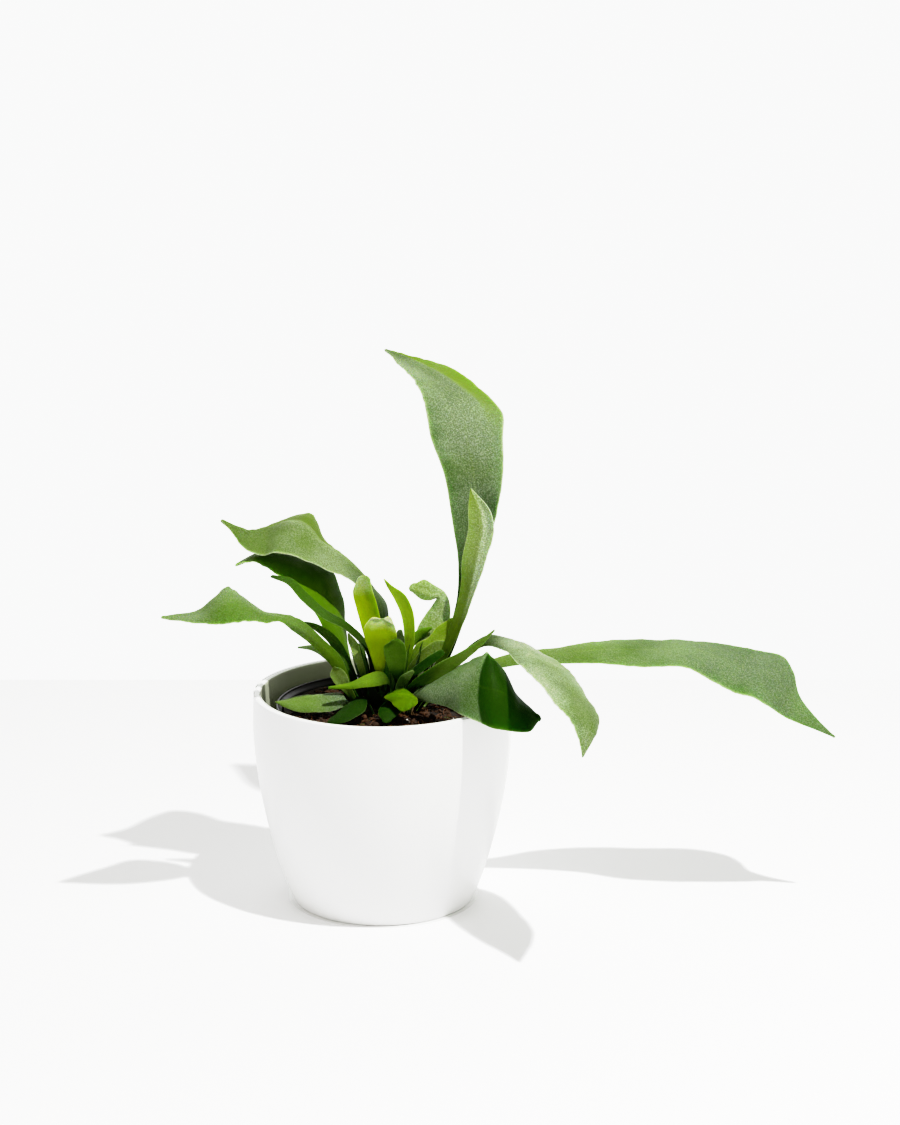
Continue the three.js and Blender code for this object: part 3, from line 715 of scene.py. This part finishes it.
def refined(outline, steps):
    """The same outline with smooth curves between its points."""
    count = (len(outline) - 1) * steps
    points = [along_curve(outline, i / steps) for i in range(count + 1)]
    return [(max(0.0, point.x), point.y) for point in points]


def cover_pot():
    around = 192
    outline = refined(cad_outline("cover_pot"), 4)
    piece = turned("cover_pot_glazed", outline, WHITE_GLAZE, around)
    lip = max(range(len(outline)), key=lambda i: outline[i][1])
    # Painted shade: the darker olive tint of the inside wall starts a little below the lip.
    painted_shade_inside = [smoothstep(lip + 4, lip + 14, i) for i in range(1, len(outline) - 1)]
    store(piece, "inside", painted_shade_inside * around + [0.0, 1.0])
    stand_for(piece, "cover_pot")


cover_pot()


def nursery_pot():
    """Thin black plastic: a rolled rim, a deeper band under it and a tapered body."""
    low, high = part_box("nursery_pot")
    rim, top, foot = high.x, high.z, low.z
    vertices = [v.co for v in frame["nodes"]["nursery_pot"].data.vertices]
    floor_points = [co for co in vertices if co.z < foot + 1.2 * MM]
    foot_radius = max(math.hypot(co.x, co.y) for co in floor_points)
    wall = 1.0 * MM
    lip = 2.2 * MM
    lip_depth = 7 * MM
    shoulder = top - lip_depth
    neck = rim - lip
    outline = [
        (0, foot + 0.6 * MM),
        (foot_radius * 0.5, foot + 0.5 * MM),
        (foot_radius - 1.4 * MM, foot),
        (foot_radius - 0.4 * MM, foot + 0.2 * MM),
        (foot_radius, foot + 1.2 * MM),
    ]
    for share in (0.25, 0.5, 0.75, 1):
        radius = foot_radius + (neck - 0.2 * MM - foot_radius) * share
        outline.append((radius, foot + (shoulder - foot) * share))
    outline += [(rim - 0.9 * MM, shoulder + 0.3 * MM), (rim - 0.5 * MM, shoulder + 0.7 * MM)]
    bead = 0.6 * MM
    for degrees in range(0, 181, 20):
        angle = math.radians(degrees)
        outline.append((rim - bead + bead * math.cos(angle), top - bead + bead * math.sin(angle)))
    inner_top = neck - wall
    outline += [(rim - 2 * bead - 0.1 * MM, top - 1.5 * MM), (inner_top + 0.5 * MM, top - 2.3 * MM)]
    outline += [(inner_top, top - 3.2 * MM), (inner_top - 0.3 * MM, shoulder - 1 * MM)]
    for share in (0.75, 0.5, 0.25):
        radius = foot_radius - wall + (neck - foot_radius) * share
        outline.append((radius, foot + (shoulder - foot) * share))
    outline += [(foot_radius - wall, foot + 1.6 * MM), (0, foot + 1.5 * MM)]
    stand_for(turned("nursery_pot_plastic", outline, BLACK_PLASTIC, 160), "nursery_pot")


nursery_pot()


# ---------------------------------------------------------------- potting mix
soil_low, soil_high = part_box("potting_mix")
soil_vertices = [v.co for v in frame["nodes"]["potting_mix"].data.vertices]
soil_edge_height = max(co.z for co in soil_vertices if math.hypot(co.x, co.y) > soil_high.x - 1 * MM)
soil_radius = soil_high.x
crown_low, crown_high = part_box("rhizome")
soil_crown = (crown_low.z + crown_high.z) / 2 - soil_edge_height


def soil_height(x, y):
    """How high the top of the mix lies at this place, with its lumps and grit."""
    share = min(1.0, math.hypot(x, y) / soil_radius)
    place = Vector((x, y, 0)) / MM
    lumps = noise.fractal(place * 0.12, 1.0, 2.0, 5) * 1.3 + noise.noise(place * 0.75) * 0.55
    grit = noise.noise(place * 1.9 + Vector((7, 3, 1))) * 0.35
    edge = 1 - 0.6 * smoothstep(0.85, 1.0, share)
    dish = soil_crown * (1 - share * share)
    return soil_edge_height + dish + (lumps + grit) * edge * MM - 0.4 * MM


def potting_mix():
    rings, around = 120, 260
    vertices, faces = [], []
    for i in range(1, rings + 1):
        radius = soil_radius * (i / rings) ** 0.8
        for j in range(around):
            angle = 2 * math.pi * j / around
            x, y = radius * math.cos(angle), radius * math.sin(angle)
            vertices.append((x, y, soil_height(x, y)))
    centre = len(vertices)
    vertices.append((0, 0, soil_height(0, 0)))
    skirt = len(vertices)
    bottom = soil_low.z
    low_radius = max(math.hypot(co.x, co.y) for co in soil_vertices if co.z < bottom + 1.5 * MM)
    for j in range(around):
        angle = 2 * math.pi * j / around
        vertices.append((low_radius * math.cos(angle), low_radius * math.sin(angle), bottom))
    vertices.append((0, 0, bottom))
    for j in range(around):
        k = (j + 1) % around
        faces.append((centre, j, k))
        for i in range(rings - 1):
            a = i * around
            faces.append((a + j, a + around + j, a + around + k, a + k))
        rim = (rings - 1) * around
        faces.append((rim + j, skirt + j, skirt + k, rim + k))
        faces.append((skirt + j, skirt + around, skirt + k))
    piece = new_object("potting_mix_peat", vertices, faces, PEAT)
    store(piece, "tone", [0.0] * len(vertices))
    stand_for(piece, "potting_mix")


potting_mix()


def lump(centre, size, rng):
    """A broken crumb: a rough ball, squashed and turned at random."""
    around, rows = 8, 5
    squash = Vector((rng.uniform(0.6, 1.2), rng.uniform(0.6, 1.2), rng.uniform(0.4, 0.9)))
    spin = rng.uniform(0, 6.28)
    offset = Vector((rng.uniform(0, 50), rng.uniform(0, 50), rng.uniform(0, 50)))
    points = []
    for i in range(rows + 1):
        tilt = math.pi * i / rows
        for j in range(around if 0 < i < rows else 1):
            angle = 2 * math.pi * j / around + spin
            way = on_ball(tilt, angle)
            bulge = size * (1 + 0.55 * noise.noise(way * 1.7 + offset))
            points.append(centre + scaled(way, squash) * bulge)
    faces = []
    start = 1
    for j in range(around):
        faces.append((0, start + j, start + (j + 1) % around))
    for i in range(rows - 2):
        for j in range(around):
            a, b = start + i * around + j, start + i * around + (j + 1) % around
            faces.append((a, a + around, b + around, b))
    end = start + (rows - 2) * around
    for j in range(around):
        faces.append((end + around, end + (j + 1) % around, end + j))
    return points, faces


def scatter(rng, reach=0.96):
    """A random place on the mix."""
    radius = soil_radius * reach * math.sqrt(rng.random())
    angle = rng.uniform(0, 2 * math.pi)
    x, y = radius * math.cos(angle), radius * math.sin(angle)
    return Vector((x, y, soil_height(x, y)))


def crumbs(name, count, sizes, material, seed, reach=0.96, clusters=0):
    rng = random.Random(seed)
    vertices, faces, tones = [], [], []
    middles = [scatter(rng, reach) for _ in range(clusters)]
    for _ in range(count):
        size = rng.uniform(*sizes) * MM * rng.uniform(0.6, 1.0)
        place = scatter(rng, reach)
        if clusters:
            middle = rng.choice(middles)
            x, y = middle.x + rng.gauss(0, 1.6) * MM, middle.y + rng.gauss(0, 1.6) * MM
            if math.hypot(x, y) > soil_radius * reach:
                continue
            place = Vector((x, y, soil_height(x, y)))
        points, lump_faces = lump(place + UP * size * 0.25, size, rng)
        start = len(vertices)
        vertices += points
        faces += [tuple(start + i for i in face) for face in lump_faces]
        tones += [rng.random()] * len(points)
    piece = new_object(name, vertices, faces, material)
    store(piece, "tone", tones)
    add_detail(piece)


crumbs("peat_crumbs", 1500, (0.5, 1.5), CRUMBS, 11)
crumbs("bark_pieces", 60, (1.6, 3.0), CRUMBS, 12, reach=0.9)
crumbs("perlite_bits", 9, (0.4, 0.9), PERLITE, 13, reach=0.93)
crumbs("moss_specks", 170, (0.3, 0.65), MOSS, 14, reach=0.9, clusters=14)


def strand(points, radius, sides=5):
    """A thin round thread along the points, closed at both ends."""
    vertices, faces = [], []
    for i, point in enumerate(points):
        heading = (points[min(i + 1, len(points) - 1)] - points[max(i - 1, 0)]).normalized()
        side = heading.cross(UP if abs(heading.z) < 0.9 else Vector((1, 0, 0))).normalized()
        top = side.cross(heading)
        taper = radius * (0.35 + 0.65 * math.sin(math.pi * (i + 0.6) / (len(points) + 0.2)) ** 0.5)
        for j in range(sides):
            angle = 2 * math.pi * j / sides
            vertices.append(point + side * math.cos(angle) * taper + top * math.sin(angle) * taper)
    for i in range(len(points) - 1):
        for j in range(sides):
            a, b = i * sides + j, i * sides + (j + 1) % sides
            faces.append((a, b, b + sides, a + sides))
    faces.append(tuple(reversed(range(sides))))
    faces.append(tuple((len(points) - 1) * sides + j for j in range(sides)))
    return vertices, faces


def root_fibres(count=210):
    rng = random.Random(21)
    vertices, faces = [], []
    for _ in range(count):
        place = scatter(rng, 0.9)
        heading = rng.uniform(0, 2 * math.pi)
        bend = rng.uniform(-0.5, 0.5)
        length = rng.uniform(3, 13) * MM
        points = []
        for k in range(8):
            part = k / 7
            height = soil_height(place.x, place.y) + (0.25 + rng.uniform(0, 0.5)) * MM
            height += math.sin(part * math.pi) * rng.uniform(0, 1.1) * MM
            points.append(Vector((place.x, place.y, height)))
            heading += bend * rng.uniform(0.2, 1.0)
            place = place + Vector((math.cos(heading), math.sin(heading), 0)) * length / 7
            if math.hypot(place.x, place.y) > soil_radius * 0.95:
                break
        if len(points) < 4:
            continue
        start = len(vertices)
        thread, thread_faces = strand(points, rng.uniform(0.1, 0.26) * MM)
        vertices += thread
        faces += [tuple(start + i for i in face) for face in thread_faces]
    add_detail(new_object("root_fibres", vertices, faces, ROOT_FIBRE))


root_fibres()


def rhizome():
    """The crown: a low lumpy dome under brown papery scales."""
    low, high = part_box("rhizome")
    middle, half = (low + high) / 2, (high - low) / 2
    around, rows = 72, 36
    vertices, faces = [], []
    for i in range(rows + 1):
        tilt = math.pi * i / rows
        for j in range(around):
            angle = 2 * math.pi * j / around
            way = on_ball(tilt, angle)
            rough = 0.9 + 0.12 * noise.noise(way * 5) + 0.05 * noise.noise(way * 14)
            vertices.append(middle + scaled(way, half) * rough)
    for i in range(rows):
        for j in range(around):
            a, b = i * around + j, i * around + (j + 1) % around
            faces.append((a, a + around, b + around, b))
    stand_for(new_object("rhizome_crown", vertices, faces, RHIZOME_SCALE), "rhizome")
    rng = random.Random(31)
    vertices, faces = [], []
    for _ in range(420):
        angle = rng.uniform(0, 2 * math.pi)
        share = math.sqrt(rng.random()) * 0.98
        lift = math.sqrt(1 - share * share)
        way = Vector((share * math.cos(angle), share * math.sin(angle), lift))
        root = middle + scaled(way, half) * 0.86
        astray = Vector((rng.gauss(0, 0.4), rng.gauss(0, 0.4), rng.gauss(0, 0.3)))
        heading = (way + astray).normalized()
        length = rng.uniform(1.2, 3.4) * MM
        points = [root + heading * length * k / 4 - UP * 0.12 * MM * k * k for k in range(5)]
        start = len(vertices)
        thread, thread_faces = strand(points, rng.uniform(0.1, 0.3) * MM, 4)
        vertices += thread
        faces += [tuple(start + i for i in face) for face in thread_faces]
    add_detail(new_object("rhizome_hairs", vertices, faces, RHIZOME_SCALE))


rhizome()


# ---------------------------------------------------------------- table, light and camera
def table_white():
    recipe = Recipe("table_white")
    tone = recipe.noise(3, 2)
    colour = recipe.mix(tone * 0.1, rgb(254, 254, 254), rgb(246, 246, 246))
    return recipe.finish(Base_Color=colour, Roughness=0.9)


def glowing_sheet():
    """A backdrop lit from within, so that it keeps one even white and takes no shadow."""
    recipe = Recipe("backdrop_white")
    return recipe.finish(
        Base_Color=rgb(0, 0, 0),
        Roughness=1.0,
        Specular_IOR_Level=0.0,
        Emission_Color=(0.99, 1.0, 0.995, 1),
        Emission_Strength=1.6,
    )


def studio():
    """A wide white table that ends behind the pot at a low backdrop, well clear of the object."""
    wide, edge, far, height, half_backdrop = 16.0, 0.389, 2.8, 3.4, 3.6
    table = new_object(
        "table",
        [(-wide, -wide, 0), (wide, -wide, 0), (wide, edge, 0), (-wide, edge, 0)],
        [(0, 1, 2, 3)],
        table_white(),
        smooth=False,
    )
    backdrop = new_object(
        "backdrop",
        [
            (side * half_backdrop, y, z)
            for y, z in ((edge, 0), (far, 0), (far, height))
            for side in (-1, 1)
        ],
        [(0, 1, 3, 2), (2, 3, 5, 4)],
        glowing_sheet(),
        smooth=False,
    )


studio()


def lamp(name, place, power, radius):
    """A small bright lamp, which gives shadows with nearly sharp edges."""
    light = bpy.data.lights.new(name, "POINT")
    light.energy = power
    light.shadow_soft_size = radius
    holder = bpy.data.objects.new(name, light)
    holder.location = place
    bpy.context.scene.collection.objects.link(holder)


lamp("key", place=(0.430, -0.446, 1.468), power=112, radius=0.018)

world = bpy.data.worlds.new("studio")
world.use_nodes = True
world.node_tree.nodes["Background"].inputs["Color"].default_value = (1.0, 0.985, 0.955, 1)
world.node_tree.nodes["Background"].inputs["Strength"].default_value = 0.52
bpy.context.scene.world = world


BRIGHTEST = 3.0  # the light that shows as full white
TONES = [
    (0.012, 0.002), (0.03, 0.015), (0.06, 0.045), (0.1, 0.09), (0.2, 0.23), (0.3, 0.38),
    (0.5, 0.63), (0.8, 0.8), (1.15, 0.87), (1.6, 0.95), (2.1, 0.99),
]


def tone_curve(points):
    """A gentle film curve: bright whites roll off instead of clipping at once."""
    view = bpy.context.scene.view_settings
    view.view_transform = "Standard"
    view.use_curve_mapping = True
    mapping = view.curve_mapping
    mapping.white_level = (BRIGHTEST, BRIGHTEST, BRIGHTEST)
    curve = mapping.curves[3]
    while len(curve.points) > 2:
        curve.points.remove(curve.points[1])
    curve.points[0].location = (0, 0)
    curve.points[1].location = (1, 1)
    for light, shown in points:
        curve.points.new(light / BRIGHTEST, shown)
    mapping.update()


tone_curve(TONES)


camera_data = bpy.data.cameras.new("camera")
camera_data.lens = 76.8
camera_data.sensor_width = 36
camera_data.clip_start = 0.01
LOOKS_DOWN = 13.42  # degrees below level
camera = bpy.data.objects.new("camera", camera_data)
camera.location = (0.034, -1.158, 0.450)
camera.rotation_euler = (math.radians(90 - LOOKS_DOWN), 0, 0)
bpy.context.scene.collection.objects.link(camera)
bpy.context.scene.camera = camera
